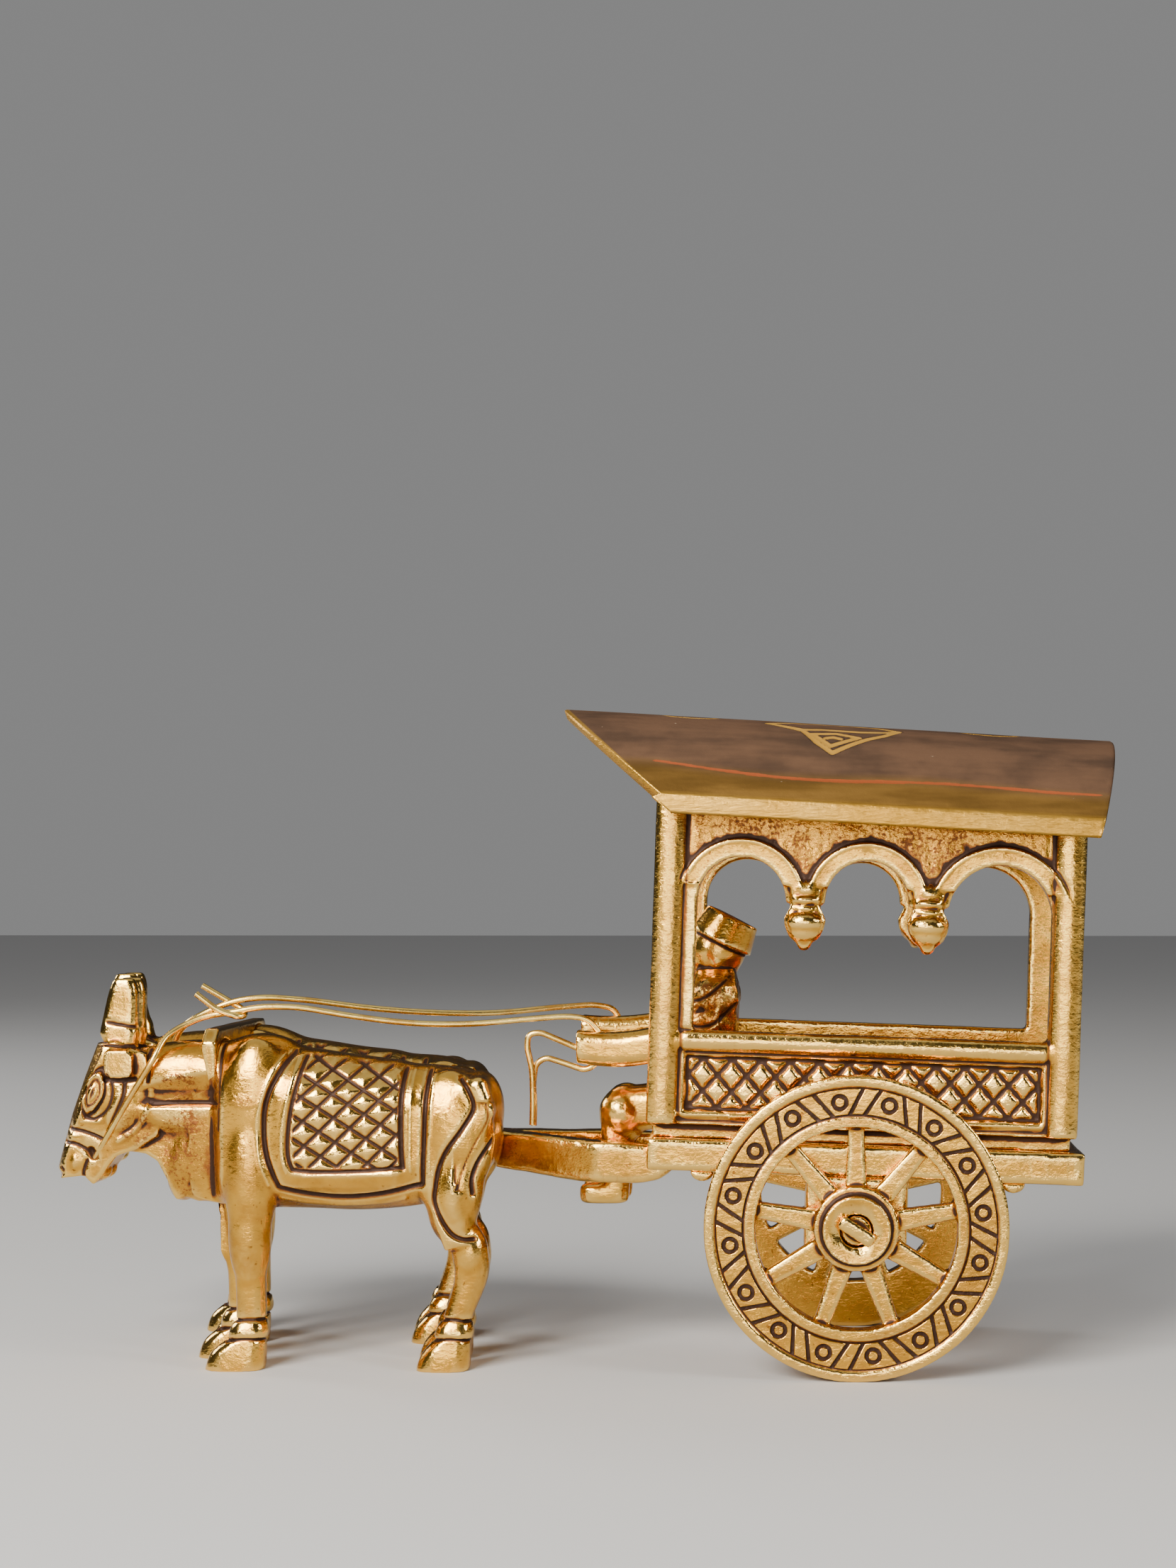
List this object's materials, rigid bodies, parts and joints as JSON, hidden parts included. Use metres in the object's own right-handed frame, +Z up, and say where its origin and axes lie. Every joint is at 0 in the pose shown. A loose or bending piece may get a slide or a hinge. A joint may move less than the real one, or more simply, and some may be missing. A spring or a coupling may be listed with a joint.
{
  "type": "brass model bullock cart",
  "caption": "Cast brass table ornament of a covered bullock cart with arched windows, a seated driver, yoked bullocks and wheels that turn.",
  "frame": {"origin": "on the table, under the middle of the whole piece", "axes": "+X to the cart's rear, +Y away from the near side, +Z up"},
  "size_m": [0.1597, 0.052, 0.0966],
  "materials": {
    "cast_brass": "polished casting with reddish brown patina in its recesses",
    "patinated_brass": "dull olive brown patina, filed bright along the edges",
    "brass_wire": "drawn wire, slightly dull"
  },
  "bodies": {
    "cart": {"axle": "cast_brass", "axle_bolster": "cast_brass", "bearer_front": "cast_brass", "bearer_rear": "cast_brass", "bullock_left": "cast_brass", "bullock_right": "cast_brass", "driver": "cast_brass", "floor_plank": "cast_brass", "rein_end_lower": "brass_wire", "rein_end_upper": "brass_wire", "rein_left": "brass_wire", "rein_right": "brass_wire", "rein_tie": "brass_wire", "roof": "patinated_brass", "shaft": "cast_brass", "side_wall_left": "cast_brass", "side_wall_right": "cast_brass", "tailboard": "cast_brass", "yoke": "cast_brass"},
    "wheel_left": {"wheel_left": "cast_brass"},
    "wheel_right": {"wheel_right": "cast_brass"}
  },
  "joints": [
    {"name": "wheel_left_spin", "type": "hinge", "parent": "cart", "child": "wheel_left", "pos_m": [0.0409, -0.022, 0.0216], "axis": [0, 1, 0], "continuous": true},
    {"name": "wheel_right_spin", "type": "hinge", "parent": "cart", "child": "wheel_right", "pos_m": [0.0409, 0.022, 0.0216], "axis": [0, 1, 0], "continuous": true}
  ]
}
